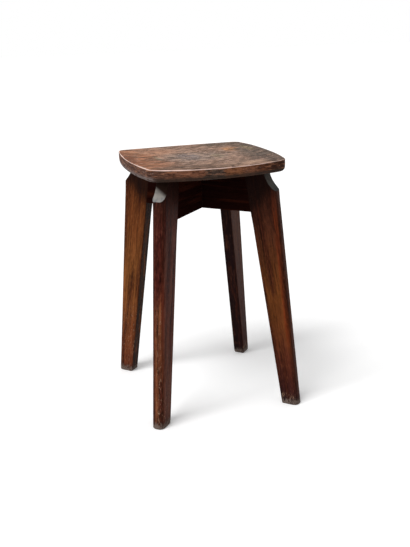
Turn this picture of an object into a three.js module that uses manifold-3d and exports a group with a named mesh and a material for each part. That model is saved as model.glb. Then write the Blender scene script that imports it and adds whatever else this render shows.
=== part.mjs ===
// A hardwood stool: a dished plank seat on four tapered, splayed legs that two crossed rails join.
// Millimetres, +Z up, the front towards -Y. The origin is on the floor under the middle of the seat.
import * as THREE from "three";
import { mergeVertices } from "three/addons/utils/BufferGeometryUtils.js";
import Module from "manifold-3d";

const wasm = await Module();
wasm.setup();

// Driving dimensions: the seat plank
const seatHeight = 460; // top of the rim at the left and right ends
const seatThickness = 24; // at those ends
const seatCornerX = 121; // where the curved edges would meet if the corners were sharp
const seatCornerY = 124;
const frontBow = 21.5; // how far the front and back edges swell past their corners
const sideBow = 12.5; // how far the left and right edges swell past their corners
const seatCornerRadius = 22;
const rimDip = 3.2; // how far the rim drops at the middle of the front and back edges
const dishDepth = 1.8; // how far the middle of the seat is worn below the line of the rim
const seatTopArris = 1.8; // radius of the worn upper edge
const seatUnderRound = 7.5; // radius of the lower edge

// Driving dimensions: the legs and the scooped shoulder at the top of each leg
const stock = 23; // thickness of the boards that the legs and rails are sawn from
const shoulderInset = 16.2; // from the seat's corner in to a leg's outer edge, at the underside of the seat
const legSplay = 47; // how much further out the outer edge stands at the floor
const footWidth = 31.5;
const legTopWidth = 56; // before the shoulder is scooped out
const outerArris = 7; // radius of a leg's two outer corners
const innerArris = 1.5;
const footEase = 1.5; // worn slope round the sole
const scoopDepth = 16; // how much of the leg the scoop takes at the seat
const scoopDrop = 34.5; // how far below the seat the scoop runs out
const scoopBellyDrop = 16; // the scoop's curve is drawn towards a point this far below its top

// Driving dimensions: the crossed rails, their dowels and the screws that hold the seat down
const railDepth = 74; // height of a rail
const dowelDiameter = 8;
const dowelLength = 50;
const dowelChamfer = 1;
const dowelFromEdge = 18; // from a rail's top or bottom edge to the dowel's middle
const screwLength = 50;
const screwDiameter = 5;
const screwHeadDiameter = 9.5;
const screwHeadHeight = 2.8;
const screwThreadLength = 22;
const screwThreadPitch = 2.2;
const screwThreadDepth = 0.7;
const screwPointLength = 4;
const screwSlotWidth = 1.3;
const screwSlotDepth = 1.2;
const screwTipCover = 6; // wood left between a screw's tip and the thinnest part of the seat's top
const driverClearance = 1.2; // round a screw's head in the hole that it is dropped through

// Named clearances
const glueGap = 0.3; // between pieces that are glued, screwed or pressed together
const overrun = 2; // how far a cutter runs past the face that it opens

// Facets
const edgeSteps = 8; // on each half edge of the seat
const cornerSteps = 6;
const roundSteps = 4;
const arrisSteps = 2;
const scoopSteps = 12;
const turnSteps = 16; // round a dowel or a screw
const dishRings = [0.86, 0.66, 0.42, 0.2]; // shares of the way from the middle of the seat to its rim
const weldTolerance = 1e-4;

// The seat's plan is two shallow front and back arcs and two shallow side arcs, met by rounded corners.
const frontRadius = (seatCornerX ** 2 + frontBow ** 2) / (2 * frontBow);
const sideRadius = (seatCornerY ** 2 + sideBow ** 2) / (2 * sideBow);
const frontCentre = new THREE.Vector2(0, seatCornerY + frontBow - frontRadius);
const sideCentre = new THREE.Vector2(seatCornerX + sideBow - sideRadius, 0);
const cornerCentre = findCornerCentre();

// Places worked out from the dimensions. Reach is measured outwards along a crossed frame from the middle.
const seatUnderside = seatHeight - seatThickness;
const railBottom = seatUnderside - railDepth;
const frameTurn = cornerCentre.angle(); // each frame aims at the seat's rounded corners
const shoulderReach = cornerCentre.length() + seatCornerRadius - shoulderInset;
const outerEdge = (z) => shoulderReach + legSplay * (1 - z / seatUnderside);
const legWidth = (z) => THREE.MathUtils.lerp(footWidth, legTopWidth, z / seatUnderside);
const innerEdge = (z) => outerEdge(z) - legWidth(z);
const innerLean = Math.atan2(innerEdge(0) - innerEdge(seatUnderside), seatUnderside);
const dowelHeights = { upper: seatUnderside - dowelFromEdge, lower: railBottom + dowelFromEdge };

// Each seat screw stands midway between the half-lap and the inner end of the upper dowel.
const lapReach = (stock / 2) * (1 / Math.sin(2 * frameTurn) + 1 / Math.abs(Math.tan(2 * frameTurn)));
const dowelReach = innerEdge(dowelHeights.upper) - (dowelLength / 2) * Math.cos(innerLean);
const screwReach = (lapReach + dowelReach) / 2;
const screwTip = seatHeight - rimDip - dishDepth - screwTipCover;
const screwHead = screwTip - screwLength;

// Finishes
const seatWood = new THREE.MeshStandardMaterial({ color: 0x6b3f26, roughness: 0.45, metalness: 0 });
const frameWood = new THREE.MeshStandardMaterial({ color: 0x3d1d12, roughness: 0.4, metalness: 0 });
const dowelWood = new THREE.MeshStandardMaterial({ color: 0xb98f5d, roughness: 0.7, metalness: 0 });
const screwSteel = new THREE.MeshStandardMaterial({ color: 0x8a8780, roughness: 0.45, metalness: 1 });

// A closed geometry as a solid that can be cut.
function toSolid(geometry) {
  const bare = geometry.index ? geometry.toNonIndexed() : geometry.clone();
  bare.deleteAttribute("normal");
  bare.deleteAttribute("uv");
  const merged = mergeVertices(bare, weldTolerance);
  return new wasm.Manifold(
    new wasm.Mesh({
      numProp: 3,
      vertProperties: merged.attributes.position.array,
      triVerts: new Uint32Array(merged.index.array),
    }),
  );
}

// The body with each cutter taken out of it.
function cut(body, cutters) {
  let solid = toSolid(body);
  for (const cutter of cutters) solid = solid.subtract(toSolid(cutter));
  const mesh = solid.getMesh();
  return new THREE.BufferGeometry()
    .setAttribute("position", new THREE.BufferAttribute(new Float32Array(mesh.vertProperties), 3))
    .setIndex(new THREE.BufferAttribute(new Uint32Array(mesh.triVerts), 1));
}

// Skins a stack of rings that hold as many points each, and closes both ends on their middle points.
// The rings run from the bottom up, and each turns anticlockwise seen from above.
function loft(rings, bottomPoint, topPoint) {
  const count = rings[0].length;
  const points = [bottomPoint, ...rings.flat(), topPoint];
  const top = points.length - 1;
  const at = (ring, i) => 1 + ring * count + (i % count);
  const faces = [];
  for (let i = 0; i < count; i += 1) {
    faces.push(0, at(0, i + 1), at(0, i));
    faces.push(top, at(rings.length - 1, i), at(rings.length - 1, i + 1));
    for (let ring = 0; ring + 1 < rings.length; ring += 1) {
      faces.push(at(ring, i), at(ring, i + 1), at(ring + 1, i + 1));
      faces.push(at(ring, i), at(ring + 1, i + 1), at(ring + 1, i));
    }
  }
  return new THREE.BufferGeometry().setFromPoints(points).setIndex(faces);
}

// A solid turned about Z from pairs of radius and height, listed from the bottom up.
function turned(profile) {
  const points = profile.map(([radius, z]) => new THREE.Vector2(radius, z));
  return new THREE.LatheGeometry(points, turnSteps).rotateX(Math.PI / 2);
}

// A profile drawn in reach and height, given a thickness that is centred on the frame's middle plane.
function standing(shape, thickness) {
  const options = { depth: thickness, bevelEnabled: false, curveSegments: scoopSteps };
  return new THREE.ExtrudeGeometry(shape, options)
    .translate(0, 0, -thickness / 2)
    .rotateX(Math.PI / 2);
}

// The seat

// The middle of the seat's corner rounding, which lies one corner radius inside both arcs.
function findCornerCentre() {
  const toFront = frontRadius - seatCornerRadius;
  const toSide = sideRadius - seatCornerRadius;
  const between = sideCentre.clone().sub(frontCentre);
  const span = between.length();
  const along = (toFront ** 2 - toSide ** 2 + span ** 2) / (2 * span);
  const across = Math.sqrt(toFront ** 2 - along ** 2);
  const unit = between.divideScalar(span);
  return frontCentre
    .clone()
    .addScaledVector(unit, along)
    .addScaledVector(new THREE.Vector2(unit.y, -unit.x), across);
}

// The seat's plan, drawn in by inset all round: one quarter, then its mirror images.
function seatOutline(inset) {
  const arc = (centre, radius, from, to, steps) =>
    Array.from({ length: steps }, (_, i) => {
      const turn = THREE.MathUtils.lerp(from, to, i / steps);
      const reach = radius - inset;
      return new THREE.Vector2(centre.x + reach * Math.cos(turn), centre.y + reach * Math.sin(turn));
    });
  const sideTurn = cornerCentre.clone().sub(sideCentre).angle();
  const frontTurn = cornerCentre.clone().sub(frontCentre).angle();
  const quarter = [
    ...arc(sideCentre, sideRadius, 0, sideTurn, edgeSteps),
    ...arc(cornerCentre, seatCornerRadius, sideTurn, frontTurn, cornerSteps),
    ...arc(frontCentre, frontRadius, frontTurn, Math.PI / 2, edgeSteps),
    new THREE.Vector2(0, seatCornerY + frontBow - inset),
  ];
  const mirrored = (sx, sy) => quarter.map((p) => new THREE.Vector2(p.x * sx, p.y * sy));
  return [
    ...quarter,
    ...mirrored(-1, 1).reverse().slice(1),
    ...mirrored(-1, -1).slice(1),
    ...mirrored(1, -1).reverse().slice(1, -1),
  ];
}

// Height of the seat's top: the rim dips towards the front and back, and the middle is hollowed.
function seatTop(x, y) {
  const acrossX = Math.min(1, Math.abs(x) / (seatCornerX + sideBow));
  const acrossY = Math.min(1, Math.abs(y) / (seatCornerY + frontBow));
  const hollow = (1 - acrossX ** 2) * (1 - acrossY ** 2);
  return seatHeight - rimDip * (1 - acrossX ** 2) - dishDepth * hollow;
}

function seatGeometry() {
  const onTop = (x, y, drop = 0) => new THREE.Vector3(x, y, seatTop(x, y) - drop);
  const rings = [];
  for (let i = 0; i <= roundSteps; i += 1) {
    const turn = (i / roundSteps) * (Math.PI / 2);
    const inset = seatUnderRound * (1 - Math.sin(turn));
    const z = seatUnderside + seatUnderRound * (1 - Math.cos(turn));
    rings.push(seatOutline(inset).map((p) => new THREE.Vector3(p.x, p.y, z)));
  }
  for (let i = 0; i <= arrisSteps; i += 1) {
    const turn = (i / arrisSteps) * (Math.PI / 2);
    const inset = seatTopArris * (1 - Math.cos(turn));
    const drop = seatTopArris * (1 - Math.sin(turn));
    rings.push(seatOutline(inset).map((p) => onTop(p.x, p.y, drop)));
  }
  for (const share of dishRings) {
    rings.push(seatOutline(seatTopArris).map((p) => onTop(p.x * share, p.y * share)));
  }
  return loft(rings, new THREE.Vector3(0, 0, seatUnderside), onTop(0, 0));
}

// The blind hole that takes a screw's thread in the underside of the seat.
function pilotHole() {
  const radius = screwDiameter / 2 + glueGap;
  const hole = turned([
    [0, seatUnderside - overrun],
    [radius, seatUnderside - overrun],
    [radius, screwTip + glueGap],
    [0, screwTip + glueGap],
  ]);
  return hole.translate(screwReach, 0, 0);
}

// The legs

// A leg's section at height z, drawn in by inset: inner corners barely eased, outer corners well rounded.
function legSection(z, inset) {
  const half = stock / 2 - inset;
  const inner = innerEdge(z) + inset;
  const outer = outerEdge(z) - inset;
  const corner = (x, y, radius, from) =>
    Array.from({ length: roundSteps + 1 }, (_, i) => {
      const turn = from + (i / roundSteps) * (Math.PI / 2);
      return new THREE.Vector3(x + radius * Math.cos(turn), y + radius * Math.sin(turn), z);
    });
  return [
    ...corner(outer - outerArris, half - outerArris, outerArris, 0),
    ...corner(inner + innerArris, half - innerArris, innerArris, Math.PI / 2),
    ...corner(inner + innerArris, innerArris - half, innerArris, Math.PI),
    ...corner(outer - outerArris, outerArris - half, outerArris, Math.PI * 1.5),
  ];
}

// The cutter that scoops out the top of a leg's outer edge under the seat.
function scoopCutter() {
  const top = outerEdge(seatUnderside) - scoopDepth;
  const runOut = seatUnderside - scoopDrop;
  const shape = new THREE.Shape()
    .moveTo(top, seatUnderside + overrun)
    .lineTo(top, seatUnderside)
    .quadraticCurveTo(top, seatUnderside - scoopBellyDrop, outerEdge(runOut), runOut)
    .lineTo(outerEdge(runOut) + overrun, runOut)
    .lineTo(outerEdge(runOut) + overrun, seatUnderside + overrun);
  return standing(shape, stock + 2 * overrun);
}

function legGeometry() {
  const middle = (z) => new THREE.Vector3((innerEdge(z) + outerEdge(z)) / 2, 0, z);
  const rings = [legSection(0, footEase), legSection(footEase, 0), legSection(seatUnderside, 0)];
  const blank = loft(rings, middle(0), middle(seatUnderside));
  return cut(blank, [scoopCutter(), ...Object.values(dowelHeights).map(dowelHole)]);
}

// The dowels

// Lays a turned piece across a leg's joint at height z, square to the leg's inner edge.
function acrossJoint(geometry, z) {
  return geometry.rotateY(Math.PI / 2 - innerLean).translate(innerEdge(z), 0, z);
}

function dowelGeometry(z) {
  const radius = dowelDiameter / 2;
  const half = dowelLength / 2;
  const pin = turned([
    [0, -half],
    [radius - dowelChamfer, -half],
    [radius, dowelChamfer - half],
    [radius, half - dowelChamfer],
    [radius - dowelChamfer, half],
    [0, half],
  ]);
  return acrossJoint(pin, z);
}

function dowelHole(z) {
  const radius = dowelDiameter / 2 + glueGap;
  const half = dowelLength / 2 + glueGap;
  const hole = turned([
    [0, -half],
    [radius, -half],
    [radius, half],
    [0, half],
  ]);
  return acrossJoint(hole, z);
}

// The crossed rails

// The cutter that clears the other rail's place in a half-lap, from height low to height high.
function lapCutter(crossing, low, high) {
  return new THREE.BoxGeometry(2 * innerEdge(railBottom), stock + 2 * glueGap, high - low)
    .translate(0, 0, (low + high) / 2)
    .rotateZ(crossing);
}

// The driver hole, head seat and shank hole of a seat screw, bored up through a rail.
function screwBore() {
  const head = screwHeadDiameter / 2 + glueGap;
  const driver = screwHeadDiameter / 2 + driverClearance;
  const shank = screwDiameter / 2 + glueGap;
  const bore = turned([
    [0, railBottom - overrun],
    [driver, railBottom - overrun],
    [driver, screwHead],
    [head, screwHead],
    [shank, screwHead + screwHeadHeight],
    [shank, seatUnderside + overrun],
    [0, seatUnderside + overrun],
  ]);
  return bore.translate(screwReach, 0, 0);
}

function railGeometry(crossing, lapLow, lapHigh) {
  const low = innerEdge(railBottom) - glueGap;
  const high = innerEdge(seatUnderside) - glueGap;
  const shape = new THREE.Shape()
    .moveTo(-low, railBottom)
    .lineTo(low, railBottom)
    .lineTo(high, seatUnderside)
    .lineTo(-high, seatUnderside);
  const cutters = [lapCutter(crossing, lapLow, lapHigh)];
  for (const end of [0, Math.PI]) {
    const holes = [screwBore(), ...Object.values(dowelHeights).map(dowelHole)];
    cutters.push(...holes.map((hole) => hole.rotateZ(end)));
  }
  return cut(standing(shape, stock), cutters);
}

// The seat screws

// A slotted countersunk wood screw, head down, its thread drawn as plain grooves.
function screwGeometry() {
  const shank = screwDiameter / 2;
  const core = shank - screwThreadDepth;
  const threadStart = screwTip - screwThreadLength;
  const profile = [
    [0, screwHead],
    [screwHeadDiameter / 2, screwHead],
    [shank, screwHead + screwHeadHeight],
    [shank, threadStart],
  ];
  const grooves = Math.floor((screwThreadLength - screwPointLength) / screwThreadPitch);
  for (let i = 0; i < grooves; i += 1) {
    const z = threadStart + i * screwThreadPitch;
    profile.push([core, z + screwThreadPitch / 2], [shank, z + screwThreadPitch]);
  }
  profile.push([core, screwTip - screwPointLength], [0, screwTip]);
  const slot = new THREE.BoxGeometry(screwHeadDiameter + overrun, screwSlotWidth, 2 * screwSlotDepth)
    .translate(0, 0, screwHead);
  return cut(turned(profile), [slot]).translate(screwReach, 0, 0);
}

// The stool

const stool = new THREE.Group();

// Adds a sub-part to the stool, turned about the middle with the crossed frame that it belongs to.
function add(turn, name, geometry, material) {
  const mesh = new THREE.Mesh(geometry, material);
  mesh.name = name;
  mesh.rotation.z = turn;
  stool.add(mesh);
}

// Each leg stands at one end of a crossed frame.
const corners = {
  back_right: frameTurn,
  back_left: Math.PI - frameTurn,
  front_left: Math.PI + frameTurn,
  front_right: -frameTurn,
};

const pilotHoles = Object.values(corners).map((turn) => pilotHole().rotateZ(turn));
add(0, "seat", cut(seatGeometry(), pilotHoles), seatWood);

for (const [corner, turn] of Object.entries(corners)) {
  add(turn, `leg_${corner}`, legGeometry(), frameWood);
  for (const [level, z] of Object.entries(dowelHeights)) {
    add(turn, `dowel_${corner}_${level}`, dowelGeometry(z), dowelWood);
  }
  add(turn, `seat_screw_${corner}`, screwGeometry(), screwSteel);
}

// One rail is notched from above and the other from below, so that they lock together flush.
const lapMiddle = (railBottom + seatUnderside) / 2;
const notchedAbove = railGeometry(-2 * frameTurn, lapMiddle - glueGap / 2, seatUnderside + overrun);
const notchedBelow = railGeometry(2 * frameTurn, railBottom - overrun, lapMiddle + glueGap / 2);
add(frameTurn, "cross_rail_front_left", notchedAbove, frameWood);
add(-frameTurn, "cross_rail_front_right", notchedBelow, frameWood);

export default stool;
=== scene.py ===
# %% [markdown]
# A worn plank stool.
# Four tapered legs splay out under the corners of a plank seat, and two rails cross between them.
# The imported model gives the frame: where each board, dowel and screw is. This notebook builds a finer
# piece for each of them, with rounded and dented edges, real joints and old varnish, in the same place.

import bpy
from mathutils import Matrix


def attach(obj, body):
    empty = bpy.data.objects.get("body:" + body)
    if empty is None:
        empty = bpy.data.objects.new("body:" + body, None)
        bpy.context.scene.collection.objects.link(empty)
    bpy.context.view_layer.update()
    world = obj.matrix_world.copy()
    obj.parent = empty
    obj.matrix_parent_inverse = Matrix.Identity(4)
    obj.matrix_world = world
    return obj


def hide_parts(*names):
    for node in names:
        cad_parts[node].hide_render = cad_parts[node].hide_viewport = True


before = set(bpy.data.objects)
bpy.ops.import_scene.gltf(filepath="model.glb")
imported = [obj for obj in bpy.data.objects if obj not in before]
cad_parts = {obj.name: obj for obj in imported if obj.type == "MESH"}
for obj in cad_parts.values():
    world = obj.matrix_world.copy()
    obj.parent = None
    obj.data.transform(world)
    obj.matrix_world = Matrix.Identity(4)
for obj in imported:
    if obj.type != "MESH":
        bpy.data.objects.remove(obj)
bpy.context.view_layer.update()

import math

import bpy
import numpy as np
from mathutils import Matrix, Vector, noise

# %% [markdown]
# The camera stands in front of the stool, a little to its left, and looks down at it. A camera's own axes
# are right, up and backwards, so these three directions are the columns of its rotation. The stool leans by
# about two degrees in the picture, so the camera is rolled by as much.

# %% Camera
camera_place = Vector((-0.414277, -1.340694, 0.666739))
camera_forward = Vector((0.285824, 0.911231, -0.296585))
camera_up = Vector((0.120033, 0.273015, 0.954492))
focal_length = 50.73


def add_to_scene(name, data):
    """An object that shows a mesh, a lamp or a camera in the scene."""
    made = bpy.data.objects.new(name, data)
    bpy.context.scene.collection.objects.link(made)
    return made


lens = bpy.data.cameras.new("camera")
lens.lens = focal_length
camera = add_to_scene("camera", lens)
camera_right = camera_forward.cross(camera_up)
turned = Matrix((camera_right, camera_up, -camera_forward)).transposed().to_4x4()
camera.matrix_world = Matrix.Translation(camera_place) @ turned
bpy.context.scene.camera = camera
print("camera at", tuple(round(c, 3) for c in camera_place), "lens", lens.lens)

# %% [markdown]
# All dimensions are in millimetres, as a maker would write them, and become metres when a mesh is made.
# The seat's plan is two shallow arcs at the front and back and two at the sides, met by rounded corners.
# The legs' reach is measured outwards along the seat's diagonals from the middle of the stool.

# %% Dimensions of the boards
MM = 0.001

seat_high = 460.0
seat_thick = 24.0
corner_x, corner_y = 121.0, 124.0
front_bow, side_bow = 21.5, 12.5
corner_round = 22.0
rim_dip = 3.2
dish = 1.8
under_round = 7.5

stock = 23.0
shoulder_inset = 16.2
splay = 47.0
foot_wide, top_wide = 31.5, 56.0
scoop_deep, scoop_drop = 16.0, 34.5
scoop_belly_drop = 16.0

rail_deep = 74.0
dowel_thick, dowel_long = 8.0, 50.0
dowel_from_edge = 18.0
screw_long, screw_thick, screw_head = 50.0, 5.0, 9.5
screw_head_high = 2.8

underside = seat_high - seat_thick
rail_bottom = underside - rail_deep
print("seat from", underside, "to", seat_high, "mm high, rails from", rail_bottom, "to", underside)

# %% [markdown]
# A point on the seat's outline is found from the direction that the edge faces there. Each direction
# belongs to one arc, so the point is that arc's centre plus its radius, and the same direction also says
# which way to move to draw the outline in.

# %% The seat's outline
front_radius = (corner_x**2 + front_bow**2) / (2 * front_bow)
side_radius = (corner_y**2 + side_bow**2) / (2 * side_bow)
front_centre = np.array((0, corner_y + front_bow - front_radius))
side_centre = np.array((corner_x + side_bow - side_radius, 0))


def meet(first, first_reach, second, second_reach):
    """The outer point that lies first_reach from first and second_reach from second."""
    span = np.linalg.norm(second - first)
    along = (first_reach**2 - second_reach**2 + span**2) / (2 * span)
    unit = (second - first) / span
    return first + along * unit + math.sqrt(first_reach**2 - along**2) * np.array((unit[1], -unit[0]))


corner_centre = meet(front_centre, front_radius - corner_round, side_centre, side_radius - corner_round)
side_end = math.atan2(*(corner_centre - side_centre)[::-1])
front_end = math.atan2(*(corner_centre - front_centre)[::-1])
diagonal = math.atan2(corner_centre[1], corner_centre[0])


def edge_quarter(start, end, count):
    """Points and directions on the outline's quarter from one facing direction to another, evenly spaced."""
    breaks = np.array((0, side_end, front_end, math.pi / 2))
    radii = np.array((side_radius, corner_round, front_radius))
    lengths = np.concatenate(([0], np.cumsum(radii * np.diff(breaks))))
    ends = np.interp((start, end), breaks, lengths)
    facing = np.interp(np.linspace(*ends, count + 1), lengths, breaks)
    arc = np.clip(np.searchsorted(breaks, facing, side="right") - 1, 0, 2)
    centres = np.array((side_centre, corner_centre, front_centre))
    out = np.stack((np.cos(facing), np.sin(facing)), 1)
    return centres[arc] + radii[arc, None] * out, out


print("corner rounding at", corner_centre.round(1), "facing", round(math.degrees(diagonal), 2), "degrees")

# %% [markdown]
# The seat is skinned in three parts that share their edge points: a grid of fine cells for the top, a band
# of rings for the edge and another grid underneath. The quarters of the outline are mirrored and joined
# into its four sides, and those into the loop that all three parts share.

# %% The seat's loop
ACROSS, DEEP = 132, 140
corner_facing = (side_end + front_end) / 2


def mirrored(pair, sx, sy, back=False):
    """A run of points and directions, mirrored, and reversed if it has to be walked the other way."""
    step = -1 if back else 1
    return tuple(part[::step] * np.array((sx, sy)) for part in pair)


def joined(*runs):
    """Runs of points and directions joined end to end, without doubling the points where they meet."""
    return tuple(np.concatenate([runs[0][k]] + [run[k][1:] for run in runs[1:]]) for k in (0, 1))


half_side = edge_quarter(0, corner_facing, DEEP // 2)
half_front = edge_quarter(corner_facing, math.pi / 2, ACROSS // 2)
right = joined(mirrored(half_side, 1, -1, back=True), half_side)
back = joined(half_front, mirrored(half_front, -1, 1, back=True))
left = mirrored(right, -1, 1, back=True)
front = mirrored(back, 1, -1, back=True)
loop, loop_out = (part[:-1] for part in joined(front, right, back, left))
round_count = len(loop)
print("points round the seat:", round_count)

# %% [markdown]
# A grid follows the grain and can carry dents, where rings that shrink to the middle would crowd there. It
# blends its four curved sides, so that its lines flow from one side to the other.

# %% The seat's grids
back_rows = (ACROSS + DEEP + ACROSS) - np.arange(ACROSS + 1)
left_rows = (round_count - np.arange(DEEP + 1)) % round_count
grid_number = np.arange((ACROSS + 1) * (DEEP + 1)).reshape(ACROSS + 1, DEEP + 1)
grid_loop = np.concatenate((
    grid_number[:, 0], grid_number[-1, 1:], grid_number[-2::-1, -1], grid_number[0, -2:0:-1],
))


def seat_grid(inset):
    """The grid of points inside the outline, once that is drawn in by an inset for each of its points."""
    near, far, west, east = [pair[0] - inset[rows, None] * pair[1] for pair, rows in (
        (front, slice(0, ACROSS + 1)),
        (mirrored(back, 1, 1, back=True), back_rows),
        (mirrored(left, 1, 1, back=True), left_rows),
        (right, slice(ACROSS, ACROSS + DEEP + 1)),
    )]
    s = np.linspace(0, 1, ACROSS + 1)[:, None, None]
    t = np.linspace(0, 1, DEEP + 1)[None, :, None]
    blend = (1 - t) * near[:, None] + t * far[:, None] + (1 - s) * west[None] + s * east[None]
    corners = (1 - s) * (1 - t) * near[0] + s * (1 - t) * near[-1] + (1 - s) * t * far[0] + s * t * far[-1]
    return blend - corners


print("points in each grid:", grid_number.size)

# %% [markdown]
# Wear is what makes old wood look old. Blender's noise gives the same value at the same place each run, so
# nothing here is left to chance. The middle of the seat is worn hollow, ridges stand along the grain where
# the soft wood has gone, and small dents, some of them long, are pressed in with a seeded draw. Towards its
# edge the top rolls over, most along the front.

# %% Wear on the seat
roll_deep, roll_wide = 1.9, 9.0
hollow_deep, ridge_deep = 0.35, 0.16


def soft(value, low, high):
    """0 below low, 1 above high, and a smooth rise between them."""
    share = np.clip((value - low) / (high - low), 0, 1)
    return share * share * (3 - 2 * share)


def rough(points, size, seed=0.0):
    """Smooth noise from -1 to 1 at each point, with lumps of about the given sizes along x, y and z."""
    scaled = np.asarray(points, float) / np.asarray(size, float) + seed
    return np.array([noise.noise(p) for p in scaled.reshape(-1, 3)]).reshape(scaled.shape[:-1])


def seat_top(x, y):
    """Height of the seat's top: the rim dips to the front and back, and the middle is hollowed."""
    across = 1 - np.clip(np.abs(x) / (corner_x + side_bow), 0, 1) ** 2
    deep = 1 - np.clip(np.abs(y) / (corner_y + front_bow), 0, 1) ** 2
    return seat_high - rim_dip * across - dish * across * deep


def roll(y, gap):
    """How far the top has rolled down at a distance of gap from its edge, least along the back."""
    return roll_deep * (1 - 0.95 * soft(y, -20, 100)) * np.clip(1 - gap / roll_wide, 0, 1) ** 2


def dents(x, y, draw, count, across, sizes, depths):
    """How deep the surface at x, y is pressed by a number of dents, some of them long."""
    pressed = np.zeros_like(x)
    for _ in range(count):
        place = draw.uniform(-1, 1, 2) * across
        size, depth = draw.uniform(*sizes), draw.uniform(*depths)
        long = draw.uniform(1, 3)
        away = ((x - place[0]) / (size * long)) ** 2 + ((y - place[1]) / size) ** 2
        pressed = np.maximum(pressed, depth * np.exp(-away))
    return pressed


def seat_wear(x, y):
    """How far the top is worn down at each point."""
    flat = np.stack((x, y, np.zeros_like(x)), -1)
    hollows = hollow_deep * (1 + rough(flat, (70, 45, 1), 3.1)) / 2
    ridges = ridge_deep * (1 + rough(flat, (60, 3.4, 1), 8.7)) / 2
    draw = np.random.default_rng(7)
    small = dents(x, y, draw, count=130, across=(118, 128), sizes=(0.8, 2.2), depths=(0.08, 0.3))
    large = dents(x, y, draw, count=14, across=(100, 110), sizes=(2.5, 5.0), depths=(0.15, 0.4))
    return hollows + ridges + np.maximum(small, large)


print("the seat's middle lies", round(seat_high - float(seat_top(0, 0)), 2), "mm below its ends")

# %% [markdown]
# The edge band runs from the top arris down the side and round under the seat. The arris is worn to
# different widths along the edge, most at the front left corner, where people slide off the seat. A bevel
# modifier would need a weight on every edge for that, so the band is drawn as rings, each with its own inset.

# %% Rings of the seat's edge
top_clear, side_clear, least_drop = 0.2, 0.35, 0.4
arris_rings, side_rings, under_rings = 5, 5, 9
arris_wide, arris_wander, edge_wander = 1.5, 0.7, 0.3
slid_corner, slid_reach, slid_wider = (-98, -128), 34, 0.9

around = np.concatenate((loop, np.zeros((round_count, 1))), 1)
slid_off = np.exp(-np.sum((loop - slid_corner) ** 2, 1) / 2 / slid_reach**2)
arris = arris_wide + arris_wander * rough(around, (26, 26, 1), 1.7) + slid_wider * slid_off
edge_wave = edge_wander * (1 + rough(around, (48, 48, 1), 5.2)) / 2

rings, ring_marks = [], []
for step in np.linspace(0, 1, arris_rings + 1)[1:]:
    angle = step * math.pi / 2
    inset = arris * (1 - math.sin(angle)) + edge_wave * step
    drop = arris * (1 - math.cos(angle))
    place = loop - inset[:, None] * loop_out
    rings.append(np.column_stack((place, seat_top(*place.T) - top_clear - roll(place[:, 1], inset) - drop)))
    ring_marks.append((1 - abs(2 * step - 0.8), step))
side_top, side_low = rings[-1][:, 2], underside + under_round
for share in np.linspace(0, 1, side_rings + 2)[1:-1]:
    swell = side_clear * (1 - (2 * share - 1) ** 2)
    place = loop - (edge_wave + side_clear - swell)[:, None] * loop_out
    rings.append(np.column_stack((place, side_top + (side_low - side_top) * share)))
    ring_marks.append((0, 1))
for step in np.linspace(0, 1, under_rings + 1)[:-1]:
    angle = step * math.pi / 2
    place = loop - (edge_wave + side_clear + under_round * (1 - math.cos(angle)))[:, None] * loop_out
    rings.append(np.column_stack((place, np.full(round_count, side_low - under_round * math.sin(angle)))))
    ring_marks.append((0, 1))
rings[arris_rings][:, 2] = np.minimum(rings[arris_rings][:, 2], side_top - least_drop)
print("rings down the edge:", len(rings), "arris up to", arris.max().round(2), "mm wide")

# %% [markdown]
# The top grid starts from the seat's true shape, and then wear and the roll of its rim are taken off. The
# underside was never seen or sat on, so it stays flat.

# %% The seat's top and underside
top_grid = seat_grid(arris)
top_x, top_y = top_grid[..., 0], top_grid[..., 1]
to_edge = np.array([[np.hypot(*(loop - place).T).min() for place in row] for row in top_grid])
worn_away = seat_wear(top_x, top_y)
top_high = seat_top(top_x, top_y) - top_clear - worn_away - roll(top_y, to_edge)
top_points = np.dstack((top_grid, top_high))
under_grid = seat_grid(edge_wave + side_clear + under_round)
under_points = np.dstack((under_grid, np.full(under_grid.shape[:2], underside)))
print("the top is worn down by up to", worn_away.max().round(2), "mm")

# %% [markdown]
# The two grids and the rings between them are joined by cells of four points, which shade smoothly. Every
# point carries marks for the finish to read: its place in the board, how near it is to the worn arris, and
# whether it belongs to the side.

# %% Skin the seat
rim_of_grid = 0.75


def grid_faces(first, up):
    """The cells of a grid whose points are numbered from first, facing up or down."""
    a, b = grid_number[:-1, :-1].ravel(), grid_number[1:, :-1].ravel()
    c, d = grid_number[1:, 1:].ravel(), grid_number[:-1, 1:].ravel()
    return (np.stack((a, b, c, d) if up else (d, c, b, a), 1) + first).tolist()


def band_faces(upper, lower):
    """The cells between two closed loops of point numbers, facing outwards."""
    return np.stack((upper, lower, np.roll(lower, -1), np.roll(upper, -1)), 1).tolist()


def skin(name, points, faces, marks):
    """A smooth mesh from points in millimetres, which carries named values on its points.

    A cut keeps these values only where a plain number is among them, so each mesh gets the scoop's."""
    marks.setdefault("scoop", np.zeros(len(points)))
    mesh = bpy.data.meshes.new(name)
    mesh.from_pydata((np.asarray(points) * MM).tolist(), [], faces)
    mesh.shade_smooth()
    for mark, values in marks.items():
        values = np.asarray(values, np.float32)
        kind, field = ("FLOAT_VECTOR", "vector") if values.ndim == 2 else ("FLOAT", "value")
        mesh.attributes.new(mark, kind, "POINT").data.foreach_set(field, values.ravel())
    return add_to_scene(name, mesh)


grid_size = grid_number.size
under_first = grid_size + len(rings) * round_count
ring_loops = [grid_size + k * round_count + np.arange(round_count) for k in range(len(rings))]
loops = [grid_loop, *ring_loops, grid_loop + under_first]
faces = grid_faces(0, True) + grid_faces(under_first, False)
for upper, lower in zip(loops, loops[1:]):
    faces += band_faces(upper, lower)
points = np.concatenate((top_points.reshape(-1, 3), *rings, under_points.reshape(-1, 3)))

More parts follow.
